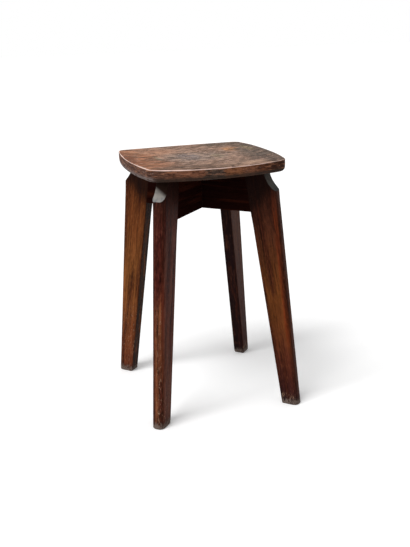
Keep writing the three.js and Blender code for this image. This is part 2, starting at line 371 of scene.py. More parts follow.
rim_mark, side_mark = np.zeros(len(points)), np.ones(len(points))
side_mark[:grid_size] = 0
rim_mark[grid_loop] = rim_of_grid
for ring_loop, (rim, side) in zip(ring_loops, ring_marks):
    rim_mark[ring_loop] = rim
    side_mark[ring_loop] = side
seat = skin("seat_plank", points, faces, {"board": points * MM, "rim": rim_mark, "side": side_mark})
print("seat:", len(seat.data.vertices), "points", len(seat.data.polygons), "faces")

# %% [markdown]
# A leg is a flat board with a straight taper, and a scoop is cut out of its shoulder under the seat. All its
# lines are given as a reach from the middle of the stool at each height: the outer face, the inner edge,
# and the scoop's curve, which runs out to the face and ends there in a softened lip.

# %% Lines of a leg
shoulder = np.linalg.norm(corner_centre) + corner_round - shoulder_inset
lip_soft = 0.9


def outer_edge(z):
    return shoulder + splay * (1 - z / underside)


def inner_edge(z):
    return outer_edge(z) - (foot_wide + (top_wide - foot_wide) * z / underside)


lean = math.atan2(inner_edge(0) - inner_edge(underside), underside)
scoop_foot = underside - scoop_drop
curve_t = np.linspace(1, 0, 60)
curve_z = ((1 - curve_t) ** 2 * underside + 2 * curve_t * (1 - curve_t) * (underside - scoop_belly_drop)
           + curve_t**2 * scoop_foot)
curve_x = (1 - curve_t**2) * (shoulder - scoop_deep) + curve_t**2 * outer_edge(scoop_foot)
lip_slope = (curve_x[1] - curve_x[0]) / (curve_z[1] - curve_z[0])


def scoop_edge(z):
    """Reach of the scooped face, carried on below its lip in a straight line."""
    return np.where(z < scoop_foot, curve_x[0] + lip_slope * (z - scoop_foot), np.interp(z, curve_z, curve_x))


def reach_out(z):
    """Reach of the board's outer face with the scoop taken out and the lip between them softened."""
    face, scoop = outer_edge(z), scoop_edge(z)
    share = np.clip(0.5 + 0.5 * (scoop - face) / lip_soft, 0, 1)
    return scoop + (face - scoop) * share - lip_soft * share * (1 - share)


print("a leg leans", round(math.degrees(lean), 2), "degrees at its inner edge")

# %% [markdown]
# A bevel would round a corner alike from end to end, but an old leg's outer corners are rubbed unevenly, and
# its inner ones are barely eased. So one section is drawn for each height, as a path round the board, and
# is spaced out again so that the points gather where the path turns. That way every ring has the same
# number of points and none of them fall together.

# %% One section of a leg
section_points, section_turn_weight = 42, 7.0


def arc(centre, radius, start, end, count):
    turns = np.linspace(start, end, count)
    return np.stack((centre[0] + radius * np.cos(turns), centre[1] + radius * np.sin(turns)), 1)


def spaced(path, count, turn_weight):
    """The path again with count points, evenly spaced by its length plus a share for how much it turns."""
    step = np.diff(path, axis=0)
    heading = np.unwrap(np.arctan2(step[:, 1], step[:, 0]))
    weight = np.hypot(*step.T)
    weight[1:] += turn_weight * np.abs(np.diff(heading)) / 2
    weight[:-1] += turn_weight * np.abs(np.diff(heading)) / 2
    walked = np.concatenate(([0], np.cumsum(weight)))
    at = np.linspace(0, walked[-1], count)
    return np.stack([np.interp(at, walked, path[:, k]) for k in (0, 1)], 1)


def half_section(z, inset, outer_round, inner_round, ease):
    """Half of a leg's section, from the middle of its inner edge to the middle of its outer face."""
    half = stock / 2 - inset
    inner = inner_edge(z) + inset
    face = float(reach_out(z)) - inset
    bend = np.array((outer_edge(z) - inset - outer_round, half - outer_round))
    ease_x = face - ease
    if ease_x > bend[0]:
        rise = math.sqrt(max((outer_round - ease) ** 2 - (ease_x - bend[0]) ** 2, 0))
        ease_at, start = np.array((ease_x, bend[1] + rise)), math.atan2(rise, ease_x - bend[0])
        corner = [arc(bend, outer_round, math.pi / 2, start, 24)]
    else:
        ease_at, start, corner = np.array((ease_x, half - ease)), math.pi / 2, []
    inner_bend = (inner + inner_round, half - inner_round)
    path = np.concatenate((
        [(inner, 0)], arc(inner_bend, inner_round, math.pi, math.pi / 2, 8), *corner,
        arc(ease_at, ease, start, 0, 8), [(face, 0)],
    ))
    apart = np.r_[True, np.hypot(*np.diff(path, axis=0).T) > 1e-6]
    return spaced(path[apart], section_points, section_turn_weight)


def leg_section(z, inset, outer_rounds, inner_round, ease):
    """One section of a leg as points of reach and side, anticlockwise from above."""
    halves = [half_section(z, inset, outer_round, inner_round, ease) for outer_round in outer_rounds]
    return np.concatenate((halves[0], (halves[1] * (1, -1))[-2:0:-1]))[::-1]


print("points in each ring of a leg:", 2 * section_points - 2)

# %% [markdown]
# Legs, rails, dowels and screws are all stacks of rings, so one set of helpers skins them. They are drawn as
# if they stood along X, and are then turned about the middle of the stool to their own place.

# %% Skins made of rings
def ring_faces(count, size):
    """The cells of a stack of rings, from the bottom up, and the fans that close both ends."""
    number = np.arange(count * size).reshape(count, size)
    ahead = np.roll(number, -1, axis=1)
    cells = np.stack((number[:-1], ahead[:-1], ahead[1:], number[1:]), -1).reshape(-1, 4).tolist()
    last = count * size
    cells += [(last, b, a) for a, b in zip(number[0].tolist(), ahead[0].tolist())]
    cells += [(last + 1, a, b) for a, b in zip(number[-1].tolist(), ahead[-1].tolist())]
    return cells


def closed_stack(stack):
    """Points of a stack of rings with the middle of the first and last ring added."""
    ends = (stack[0].mean(0), stack[-1].mean(0))
    return np.concatenate((stack.reshape(-1, 3), ends))


def turn_about_middle(points, turn):
    """Points given by reach, side and height, turned to their place in the stool."""
    c, s = math.cos(turn), math.sin(turn)
    reach, side, height = points.T
    return np.stack((reach * c - side * s, reach * s + side * c, height), 1)


def mark_facing(piece, turn):
    """Notes on each point how far it faces along the leg's reach, to its side and up."""
    normals = turn_about_middle(np.array([v.normal for v in piece.data.vertices]), -turn)
    field = piece.data.attributes.new("facing", "FLOAT_VECTOR", "POINT")
    field.data.foreach_set("vector", normals.astype(np.float32).ravel())


def press(piece, depths):
    """Moves each point inwards along its normal by its depth in millimetres."""
    mesh = piece.data
    normals = np.array([v.normal for v in mesh.vertices])
    places = np.array([v.co for v in mesh.vertices])
    mesh.vertices.foreach_set("co", (places - normals * depths[:, None] * MM).ravel())
    mesh.update()


# %% [markdown]
# A leg's outer corners are rounded by hand, a little more at the foot, and three of the legs have one side
# that is worn further. The boards were rounded after they were glued up, so the inner corners are left
# square where the rails meet the legs. Rings are stacked closer together where the shape changes fast: at
# the sole, at the lip of the scoop and up the scoop.

# %% Stack the rings of a leg
# A radius at the floor, then changes by an amount from one height to another
outer_rounding = (8.4, (-1.9, 40, 380), (-1.5, 380, 410))
worn_rounding = (0.8, (3.0, 40, 380), (1.5, 380, 410))
inner_rounding = (2.2, (-0.6, 40, 250), (-1.35, rail_bottom - 30, rail_bottom + 1))
face_ease = 0.9
sole_rings, shank_rings, scoop_rings, lip_step = 7, 310, 26, 0.4


def eased(z, size, *changes):
    """A size at height z, from its value at the floor and its changes on the way up."""
    for amount, low, high in changes:
        size += amount * float(soft(z, low, high))
    return size


def leg_heights(foot_round):
    sole = foot_round * (1 - np.cos(np.linspace(0, math.pi / 2, sole_rings)))
    lip = np.arange(scoop_foot - 3, scoop_foot + 4, lip_step)
    scoop = np.interp(np.linspace(0.93, 0, scoop_rings), curve_t[::-1], curve_z[::-1])
    shank = np.linspace(sole[-1], lip[0], shank_rings)[1:-1]
    heights = np.concatenate((sole, shank, lip, scoop[scoop > lip[-1] + 0.3], [underside - 0.05]))
    return np.unique(heights.round(3))


def leg_stack(foot_round, worn_side):
    """The rings of a leg from its sole up. The sole's edge is rounded by drawing its rings in."""
    stack = []
    for z in leg_heights(foot_round):
        inset = foot_round - math.sqrt(max(foot_round**2 - max(foot_round - z, 0) ** 2, 0))
        outer_round, worn = eased(z, *outer_rounding), eased(z, *worn_rounding)
        outer_rounds = [outer_round + worn * (worn_side == side) for side in (1, -1)]
        ring = leg_section(z, inset, outer_rounds, eased(z, *inner_rounding), face_ease)
        stack.append(np.column_stack((ring, np.full(len(ring), z))))
    return np.array(stack)


print("rings in a leg:", len(leg_heights(2.0)))

# %% [markdown]
# Small knocks along the outer corners, waves, grain and a rubbed foot are pressed in along the surface's own
# direction, always inwards, so that the board stays inside its solid. Each point is marked with its place
# along the board, because grain has to run with the board and not with the stool.

# %% Build the legs
knock_deep, wave_deep, grain_deep, foot_deep = 0.55, 0.18, 0.05, 0.7
arris_reach = 5.0


def leg_wear(local, near_arris, seed):
    """How deep an old leg is pressed in at each point. Its sole and its top stay level."""
    z = local[:, 2]
    knocks = soft(rough(local, (3.0, 3.0, 7.0), seed + 0.3), 0.32, 0.75) * near_arris
    knocks = knocks * (0.25 + 0.75 * soft(-z, -260, -60))
    waves = (1 + rough(local, (18, 18, 60), seed + 4.4)) / 2
    grain = (1 + rough(local, (2.2, 2.2, 40), seed + 9.1)) / 2
    foot = soft(-z, -9, 0) * (1 + rough(local, (6, 6, 6), seed + 2.2)) / 2
    level = soft(z, 0.5, 3.0) * (1 - soft(z, underside - 2, underside - 1))
    return level * (knock_deep * knocks + wave_deep * waves + grain_deep * grain + foot_deep * foot)


def make_leg(name, turn, seed, foot_round, worn_side):
    stack = leg_stack(foot_round, worn_side)
    local = closed_stack(stack)
    reach, side, z = local.T
    to_edge = (outer_edge(z) - reach) + (stock / 2 - np.abs(side))
    near_arris = np.exp(-((to_edge / arris_reach) ** 2))
    in_scoop = soft(z, scoop_foot - 0.5, scoop_foot + 0.8) * (1 - soft(scoop_edge(z) - reach, 0.5, 1.3))
    from_inner = (reach - inner_edge(z)) * math.cos(lean)
    board = np.stack((z / math.cos(lean), from_inner, side), 1)
    marks = {"board": board * MM, "scoop": in_scoop}
    leg = skin(name, turn_about_middle(local, turn), ring_faces(*stack.shape[:2]), marks)
    mark_facing(leg, turn)
    press(leg, leg_wear(local, near_arris, seed))
    return leg


# Direction from the middle, seed of its noise, rounding of its sole, and its worn side: 1, -1 or 0 for none
corners = {
    "back_right": (diagonal, 11.0, 3.6, 0),
    "back_left": (math.pi - diagonal, 23.0, 2.2, -1),
    "front_left": (math.pi + diagonal, 37.0, 2.6, 1),
    "front_right": (-diagonal, 51.0, 2.0, -1),
}
legs = {corner: make_leg(f"leg_board_{corner}", *facts) for corner, facts in corners.items()}
print("each leg:", [len(leg.data.polygons) for leg in legs.values()], "faces")

# %% [markdown]
# The rails are bars with eased lower corners, cut at both ends to the lean of the legs. They are skinned in
# the same way as the legs, with the rings standing across the bar. Their ends stay flat, to meet the legs.

# %% Build the rails
joint_gap = 0.1
under_ease, top_ease = 1.6, 0.4
rail_points, rail_turn_weight, rail_rings = 44, 5.0, 120
rail_wave_deep, rail_wave_end = 0.15, (84, 90)
# The varnish is drawn by height, so a rail's middle is given a height clear of a leg's foot and top
rail_height_mark = 0.2


def make_rail(name, turn, seed):
    half, tall = stock / 2, rail_deep / 2
    outline = np.concatenate((
        [(0, -tall)], arc((half - under_ease, under_ease - tall), under_ease, -math.pi / 2, 0, 8),
        arc((half - top_ease, tall - top_ease), top_ease, 0, math.pi / 2, 5), [(0, tall)],
    ))
    half_path = spaced(outline, rail_points, rail_turn_weight)
    whole = np.concatenate((half_path, (half_path * (-1, 1))[-2:0:-1]))
    side, height = whole[:, 0], whole[:, 1] + (rail_bottom + underside) / 2
    ends = inner_edge(height) - joint_gap
    stack = np.array([np.stack((share * ends, side, height), 1) for share in np.linspace(-1, 1, rail_rings)])
    local = closed_stack(stack)
    marks = {"board": local[:, [0, 2, 1]] * MM + np.array((rail_height_mark, 0, 0))}
    rail = skin(name, turn_about_middle(local, turn), ring_faces(*stack.shape[:2]), marks)
    inside = 1 - soft(np.abs(local[:, 0]), *rail_wave_end)
    waves = (1 + rough(local, (60, 14, 14), seed)) / 2
    press(rail, inside * soft(underside - local[:, 2], 0.6, 3) * rail_wave_deep * waves)
    return rail


rails = {
    "front_left": make_rail("rail_bar_front_left", diagonal, 5.0),
    "front_right": make_rail("rail_bar_front_right", -diagonal, 9.0),
}
print("each rail:", len(rails["front_left"].data.polygons), "faces")

# %% [markdown]
# The dowels can't be seen until the stool is taken apart, but they hold the legs to the rails. A dowel is
# turned with fine flutes that let the glue out, so its rings aren't quite round, and its ends are chamfered
# to find the hole. It lies square to the leg's inner edge.

# %% Build the dowels
half_dowel, dowel_radius = dowel_long / 2, dowel_thick / 2
dowel_points, dowel_rings, past_chamfer = 72, 22, 2.2
flutes, flute_deep = 12, 0.22


def stand_in_joint(points, z):
    """Turned points laid across a leg's joint at height z, square to the leg's inner edge."""
    tilt = math.pi / 2 - lean
    x, y, up = points.T
    return np.stack((
        x * math.cos(tilt) + up * math.sin(tilt) + inner_edge(z), y,
        -x * math.sin(tilt) + up * math.cos(tilt) + z,
    ), 1)


def turned_stack(profile, size, shape=lambda radius, turns, z: radius):
    """Rings about Z from pairs of radius and height."""
    turns = np.linspace(0, 2 * math.pi, size, endpoint=False)
    rings = []
    for radius, z in profile:
        reach = shape(radius, turns, z) * np.ones(size)
        rings.append(np.stack((reach * np.cos(turns), reach * np.sin(turns), np.full(size, z)), 1))
    return np.array(rings)


def fluted(radius, turns, z):
    return radius - flute_deep * np.clip(np.cos(flutes * turns), 0, 1) ** 2


dowel_heights = {"upper": underside - dowel_from_edge, "lower": rail_bottom + dowel_from_edge}
chamfer = [(dowel_radius - 1.1, 0), (dowel_radius - 0.5, 0.5), (dowel_radius - 0.05, 1.4)]
dowel_profile = [(radius, z - half_dowel) for radius, z in chamfer]
side_heights = np.linspace(past_chamfer - half_dowel, half_dowel - past_chamfer, dowel_rings)
dowel_profile += [(dowel_radius - 0.02, z) for z in side_heights]
dowel_profile += [(radius, half_dowel - z) for radius, z in reversed(chamfer)]
dowels = {}
for corner, (turn, seed, *_) in corners.items():
    for level, z in dowel_heights.items():
        stack = turned_stack(dowel_profile, dowel_points, fluted)
        bare = closed_stack(stack)
        placed = turn_about_middle(stand_in_joint(bare, z), turn)
        name = f"dowel_pin_{corner}_{level}"
        marks = {"board": bare[:, [2, 0, 1]] * MM + np.array((seed + z * MM, 0, 0))}
        dowels[corner, level] = skin(name, placed, ring_faces(*stack.shape[:2]), marks)
print("dowels:", len(dowels))

# %% [markdown]
# A screw stands in each half of a rail, between the half-lap and the dowels, and holds the seat. Its thread
# is a real helix: a ring's radius depends on how far round it a point is, so the crest climbs as it goes
# round.

# %% Lines of a screw
lap_reach = stock / 2 * (1 / math.sin(2 * diagonal) + 1 / abs(math.tan(2 * diagonal)))
dowel_reach = inner_edge(dowel_heights["upper"]) - half_dowel * math.cos(lean)
screw_reach = (lap_reach + dowel_reach) / 2
wood_over_tip = 6
screw_tip = seat_high - rim_dip - dish - wood_over_tip
screw_low = screw_tip - screw_long
thread_long, point_long, point_blunt = 22, 3.5, 0.15
thread_start, thread_end = screw_tip - thread_long, screw_tip - point_long
thread_pitch, thread_deep, thread_fade = 2.2, 0.7, 2.4
crest_slope, crest_flat = 1.6, 0.35
shank, head = screw_thick / 2, screw_head / 2
head_top = screw_low + screw_head_high


def threaded(radius, turns, z):
    """The radius at each turn of the screw, cut by a thread between the shank and the point."""
    phase = (z / thread_pitch - turns / (2 * math.pi)) % 1
    cut = np.clip(crest_slope * np.abs(2 * phase - 1) - crest_flat, 0, 1)
    depth = thread_deep * float(soft(z, thread_start, thread_start + thread_fade)) * min(1, radius / shank)
    return radius - depth * (1 - cut)


screw_profile = [(head - 0.25, screw_low), (head, screw_low + 0.25), (head, screw_low + 0.45)]
screw_profile += [(shank + 0.2, head_top), (shank, head_top + 0.5)]
screw_profile += [(shank, z) for z in np.linspace(screw_low + 4, thread_start, 12)]
screw_profile += [(shank, z) for z in np.arange(thread_start + 0.2, thread_end, 0.2)]
for share in np.linspace(0.08, 1, 18):
    screw_profile.append((shank - (shank - point_blunt) * share, thread_end + point_long * share))
print("rings in a screw:", len(screw_profile))

# %% [markdown]
# Holes, notches and slots are cut with a boolean, which is how a maker thinks of them too: a tool of the
# right shape is sunk into the piece and taken away. The cut is kept as the piece's own mesh at once, so
# that no modifier depends on a tool that is gone.

# %% Cutting tools
def turned_tool(profile, size=48):
    """Points and faces of a turned cutter."""
    stack = turned_stack(profile, size)
    return closed_stack(stack), ring_faces(*stack.shape[:2])


def box_tool(size, middle, turn=0.0):
    """Points and faces of a box of the given size, turned about the middle of the stool."""
    signs = np.array([(x, y, z) for z in (-0.5, 0.5) for y in (-0.5, 0.5) for x in (-0.5, 0.5)])
    faces = [(0, 2, 3, 1), (4, 5, 7, 6), (0, 1, 5, 4), (2, 6, 7, 3), (0, 4, 6, 2), (1, 3, 7, 5)]
    return turn_about_middle(signs * size + middle, turn), faces


def cut_out(piece, tools):
    """Cuts each tool's points and faces out of a piece and keeps the result as its own mesh."""
    for points, faces in tools:
        tool = skin("cutter", points, faces, {"board": np.asarray(points) * MM})
        change = piece.modifiers.new("cut", "BOOLEAN")
        change.operation, change.solver, change.object = "DIFFERENCE", "EXACT", tool
        bpy.context.view_layer.update()
        seen = piece.evaluated_get(bpy.context.evaluated_depsgraph_get())
        fresh = bpy.data.meshes.new_from_object(seen)
        piece.modifiers.clear()
        piece.data = fresh
        bpy.data.objects.remove(tool)


# %% [markdown]
# Each screw is turned, and its slot is cut straight across the head. The slots point different ways, as
# they do when screws are driven home by hand.

# %% Build the screws
screw_points, slot_wide, slot_deep = 40, 1.3, 1.2


def screw_at(points, turn):
    return turn_about_middle(points + np.array((screw_reach, 0, 0)), turn)


screws = {}
for corner, (turn, seed, *_) in corners.items():
    stack = turned_stack(screw_profile, screw_points, threaded)
    bare = closed_stack(stack)
    name = f"wood_screw_{corner}"
    screw = skin(name, screw_at(bare, turn), ring_faces(*stack.shape[:2]), {"board": bare * MM})
    slot_points, slot_faces = box_tool((screw_head + 2, slot_wide, 2 * slot_deep), (0, 0, screw_low), seed)
    cut_out(screw, [(screw_at(slot_points, turn), slot_faces)])
    screws[corner] = screw
print("each screw:", len(screws["back_left"].data.polygons), "faces")

# %% [markdown]
# Now the joints are cut, as the maker would: holes for the dowels in legs and rails, a half-lap where the
# rails cross, stepped bores for the screws up through the rails, and pilot holes under the seat. One rail
# is notched from above and the other from below, so that they drop into each other.

# %% Cut the joints
head_room, pilot_gap, past = 1.2, 0.2, 2
bore_profile = [
    (head + head_room, rail_bottom - past), (head + head_room, screw_low), (head + joint_gap, screw_low),
    (shank + joint_gap, head_top), (shank + joint_gap, underside + past),
]
pilot_profile = [(shank + pilot_gap, underside - past), (shank + pilot_gap, screw_tip + 0.4)]
hole_profile = [(dowel_radius + joint_gap, -half_dowel - 0.3), (dowel_radius + joint_gap, half_dowel + 0.3)]


def dowel_holes(turn):
    """The cutters of the upper and lower dowel hole of the joint in the direction turn."""
    points, faces = turned_tool(hole_profile)
    return [(turn_about_middle(stand_in_joint(points, z), turn), faces) for z in dowel_heights.values()]


def screw_hole(profile, turn):
    points, faces = turned_tool(profile)
    return screw_at(points, turn), faces


for corner, (turn, *_) in corners.items():
    cut_out(legs[corner], dowel_holes(turn))
cut_out(seat, [screw_hole(pilot_profile, turn) for turn, *_ in corners.values()])

lap_middle, lap_long = (rail_bottom + underside) / 2, 170
laps = {
    "front_left": (diagonal, lap_middle - joint_gap, underside + past),
    "front_right": (-diagonal, rail_bottom - past, lap_middle + joint_gap),
}
for side, (turn, low, high) in laps.items():
    tools = [box_tool((lap_long, stock + 2 * joint_gap, high - low), (0, 0, (low + high) / 2), -turn)]
    for end in (turn, turn + math.pi):
        tools += [screw_hole(bore_profile, end), *dowel_holes(end)]
    cut_out(rails[side], tools)

sharp_angle = 38
for piece in (seat, *legs.values(), *rails.values(), *screws.values(), *dowels.values()):
    piece.data.set_sharp_from_angle(angle=math.radians(sharp_angle))
print("joints cut; seat now has", len(seat.data.polygons), "faces")

# %% [markdown]
# A material is a graph of nodes, and sums written as nodes are hard to read. So one small class stands for
# the output of a node, and a sum on it adds the Math node that does it. A finish makes every other node
# through one method: the kind, its settings, then what goes into its sockets.

# %% Write materials as sums
class Strand:
    """The output of one node in a finish."""

    def __init__(self, finish, socket):
        self.finish, self.socket = finish, socket

    def maths(self, operation, *values):
        return self.finish.node("Math", {"operation": operation}, dict(enumerate(values)))

    def __add__(self, other):
        return self.maths("ADD", self, other)

    def __sub__(self, other):
        return self.maths("SUBTRACT", self, other)

    def __rsub__(self, other):
        return self.maths("SUBTRACT", other, self)

    def __mul__(self, other):
        return self.maths("MULTIPLY", self, other)

    def at_least(self, low):
        return self.maths("MAXIMUM", self, low)

    __radd__ = __add__
    __rmul__ = __mul__


# %% [markdown]
# The finish holds the node tree. A few short methods stand for what wood needs again and again: a smooth
# rise from one value to another, noise stretched along the grain, and paint laid over paint.

# %% Lay out a finish
class Finish:
    """The nodes that draw one material, or the world."""

    def __init__(self, owner):
        owner.use_nodes = True
        self.owner, self.tree = owner, owner.node_tree
        self.tree.nodes.clear()

    def node(self, kind, settings=None, sockets=None, output=None):
        """Makes a node, fills its sockets by name or number, and gives the output asked for, or the first."""
        made = self.tree.nodes.new("ShaderNode" + kind)
        for setting, value in (settings or {}).items():
            if setting == "stops":
                ramp = made.color_ramp.elements
                while len(ramp) < len(value):
                    ramp.new(0.5)
                for stop, (place, colour) in zip(ramp, value):
                    stop.position, stop.color = place, (*colour, 1)
            else:
                setattr(made, setting, value)
        for key, value in (sockets or {}).items():
            socket = made.inputs[key] if isinstance(key, int) else next(
                s for s in made.inputs if s.name == key and s.enabled)
            if isinstance(value, Strand):
                self.tree.links.new(value.socket, socket)
            elif socket.type == "RGBA":
                socket.default_value = (*value, 1)
            else:
                socket.default_value = value
        if output is not None:
            return Strand(self, made.outputs[output])
        return Strand(self, next((s for s in made.outputs if s.enabled), None))

    def mark(self, name, output="Fac"):
        """What the mesh carries on its points under this name: a number, or with Vector a place."""
        return self.node("Attribute", {"attribute_name": name}, output=output)

    def rise(self, value, low, high):
        """0 at low, 1 at high, smooth between. Where low is the larger, it falls instead."""
        return self.node("MapRange", {"interpolation_type": "SMOOTHSTEP"},
                         {"Value": value, "From Min": low, "From Max": high})

    def between(self, value, low, high, fade):
        """1 from low to high, fading out on both sides."""
        return self.rise(value, low - fade, low) * self.rise(value, high + fade, high)

    def cloud(self, place, scale, seed=0.0, detail=3.0, roughness=0.6, distortion=0.0):
        """Noise whose lumps are stretched by a different scale along each direction."""
        scaled = self.node("VectorMath", {"operation": "MULTIPLY"}, {0: place, 1: scale})
        moved = self.node("VectorMath", {"operation": "ADD"}, {0: scaled, 1: (seed, seed * 1.7, seed * 0.6)})
        return self.node("TexNoise", {}, {"Vector": moved, "Scale": 1.0, "Detail": detail,
                                          "Roughness": roughness, "Distortion": distortion})

    def blend(self, share, under, over):
        """One paint laid over another."""
        return self.node("Mix", {"data_type": "RGBA", "clamp_factor": True},
                         {"Factor": share, "A": under, "B": over})

    def stained(self, colour, stains):
        """Stains laid over a colour: each has a share, a cloud, where it starts and is full, and a paint."""
        for share, cloud, start, full, paint in stains:
            colour = self.blend(share * self.rise(cloud, start, full), colour, paint)
        return colour

    def shaded(self, colour, share):
        """A colour made lighter or darker without a change of hue."""
        return self.node("VectorMath", {"operation": "SCALE"}, {0: colour, "Scale": share})

    def bumped(self, height, distance):
        return self.node("Bump", {}, {"Height": height, "Distance": distance})

    def surface(self, **sockets):
        """The finish's surface, with its sockets filled by name, where _ stands for a space."""
        sockets = {key.replace("_", " "): value for key, value in sockets.items()}
        return self.shown(self.node("BsdfPrincipled", {}, sockets))

    def shown(self, shader):
        """Puts a shader on the output, and gives the finished material."""
        self.node("OutputMaterial", {}, {"Surface": shader})
        return self.owner


def new_finish(name):
    return Finish(bpy.data.materials.new(name))


# %% [markdown]
# Where hands and shoes rub a leg, a strip of its surface is worn, and other strips are painted light and
# shade:
# painted shade on faces that are turned from the light or lie in the seat's shadow, a painted sheen on a face
# turned to the right, and a painted highlight along a rounded corner. Painting wear by hand on a flattened
# map would be one way, but a strip can also be found by sums: from the direction that the surface faces, in
# degrees from the leg's outer edge, and from the heights that it spans. The feet are stained dark and
# dotted with dust. The scoops, where end grain is bare, have gone grey, and are palest at the top; their grey
# also stands for a painted sheen where they face the light, and the seat's shadow is painted across their
# top.

# %% Worn and dirty places on a leg
PORE = (0.004, 0.0015, 0.001)
UNDER_SEAT_SHADE = (0.011, 0.004, 0.003)
BARE_WOOD_AND_GLINT = (0.42, 0.25, 0.16)
FOOT_STAIN, FOOT_DUST = (0.014, 0.007, 0.007), (0.2, 0.15, 0.125)
# The scoop's grey and pale stand for bare end grain and for a painted sheen where it faces the light, and its
# darkest colour is the seat's painted shadow on it.
SCOOP_GREY, SCOOP_PALE, SCOOP_SHADOW = (0.2, 0.205, 0.21), (0.5, 0.455, 0.4), (0.02, 0.009, 0.006)
strip_fade, speck_fade = 0.05, 0.02
foot_clean, foot_black = 0.022, 0.004


def strip(f, facing, high, fade, degrees, spread, low, top):
    """1 where a leg faces the direction degrees, at heights from low to top, fading out around that."""
    aim = (math.cos(math.radians(degrees)), math.sin(math.radians(degrees)), 0)
    shown = f.node("VectorMath", {"operation": "DOT_PRODUCT"}, {0: facing, 1: aim}, "Value")
    faced = f.rise(shown, math.cos(math.radians(spread)), math.cos(math.radians(spread / 3)))
    return faced * f.between(high, low * MM, top * MM, fade)


def dirty_foot(f, colour, high, speck):
    """The colour of a leg with its foot stained and dotted with dust."""
    foot = f.rise(high, foot_clean, foot_black)
    dusty = f.rise(speck + 0.2 * foot, 0.6, 0.7) * foot
    return f.blend(0.85 * dusty, f.blend(0.7 * foot, colour, FOOT_STAIN), FOOT_DUST)


def scoop_grain_and_sheen(f, board, high, side, seed, scoop_brightness, shadow):
    """Bare end grain with a painted sheen: grey below, pale above, and the seat's shadow painted across the
    top along one side.
    """
    dust = f.cloud(board, (120, 150, 150), seed, 3.0)
    paler = 0.4 * f.rise(dust, 0.3, 0.7) + 0.6 * f.rise(high, 0.405, 0.427)
    grey = f.shaded(f.blend(paler, SCOOP_GREY, SCOOP_PALE), scoop_brightness)
    return f.blend(shadow * f.rise(high + 0.55 * side, 0.417, 0.426), grey, SCOOP_SHADOW)


print("a foot is stained up to", foot_clean / MM, "mm")

# %% [markdown]
# The legs and rails carry an old dark varnish over a straight-grained wood. A ramp up the board sets its
# broad tone, which on the legs darkens towards the top as painted shade under the seat. Broad bands lean
# towards red, streaks and short flecks follow the grain, and small dark pores lie in it. The seat's shadow is
# painted where a leg meets its rail, above a line that slants up across the leg and has a height, a slope and
# a softness. Where a leg is knocked most, small specks of varnish have chipped off down to the wood, and on
# the front left leg the same pale specks also stand for a painted highlight.

# %% Varnish of the legs and rails
def varnish(name, seed, stops, fleck, strips=(), specks=(), streaky=1.0, scoop_brightness=0.7, shadow=0.3,
            gloss=0.03, seat_shade_line=(0.366, 0.9, 0.016), red=(0.07, 0.016, 0.008)):
    """Old varnish on one board, with its tones up the board as stops of a height and a colour."""
    f = new_finish(name)
    board, facing = f.mark("board", "Vector"), f.mark("facing", "Vector")
    high, outward, side = (f.node("SeparateXYZ", {}, {"Vector": board}, axis) for axis in "XYZ")
    wander = f.cloud(board, (14, 60, 60), seed, 3.0)
    broad = f.cloud(board, (5, 75, 75), seed + 1, 2.0, 0.5)
    streak = f.cloud(board, (16, 380, 380), seed, 3.0, 0.55)
    short = f.cloud(board, (95, 420, 420), seed, 3.0, 0.65)
    fine = f.cloud(board, (70, 1900, 1900), seed)
    pores = f.rise(f.cloud(board, (150, 2300, 2300), seed, 2.0, 0.5), 0.6, 0.72)
    ragged = f.cloud(board, (28, 170, 170), seed + 2, 4.0, 0.65)
    speck = f.cloud(board, (150, 560, 560), seed + 5, 4.0, 0.75)
    colour = f.node("ValToRGB", {"stops": [(z / seat_high, paint) for z, paint in stops]},
                    {"Fac": high * (1 / (seat_high * MM)) + 0.22 * wander - 0.11})
    for *place, share, paint in strips:
        where = strip(f, facing, high, strip_fade, *place) * f.rise(ragged, 0.3, 0.52)
        colour = f.blend(share * where, colour, paint)
    colour = f.blend(0.6 * f.rise(broad, 0.5, 0.38), colour, red)
    grain = 1.6 * (broad - 0.5) + 2.2 * (streak - 0.5) + 1.6 * (short - 0.5) + 0.8 * (fine - 0.5)
    colour = f.shaded(colour, (1 + streaky * grain).at_least(0.2))
    colour = f.blend(0.5 * f.rise(short, 0.54, 0.7), colour, fleck)
    # Painted shade of the seat: the leg is darkened above a slanted line, most where it meets its rail.
    line, slope, fade = seat_shade_line
    in_seat_shade = f.rise(high - slope * outward + 0.02 * (wander - 0.5), line - fade, line + fade)
    colour = f.blend(0.8 * in_seat_shade, f.blend(0.6 * pores, colour, PORE), UNDER_SEAT_SHADE)
    # Chipped specks of bare wood; on the front left leg they also stand for a painted highlight.
    bare = 0.0
    for *place, amount in specks:
        chipped = f.rise(speck, 0.72 - amount, 0.8 - amount)
        bare = bare + chipped * strip(f, facing, high, speck_fade, *place)
    colour = dirty_foot(f, f.blend(bare, colour, BARE_WOOD_AND_GLINT), high, speck)
    scoop = f.mark("scoop")
    colour = f.blend(scoop, colour, scoop_grain_and_sheen(f, board, high, side, seed, scoop_brightness, shadow))
    roughness = 0.36 + 0.22 * streak + 0.3 * bare + 0.3 * scoop
    height = 0.5 * streak + 0.35 * fine + 0.5 * short - 0.5 * pores - 0.6 * bare
    return f.surface(Base_Color=colour, Roughness=roughness, Normal=f.bumped(height, 0.00035),
                     Specular_IOR_Level=gloss)
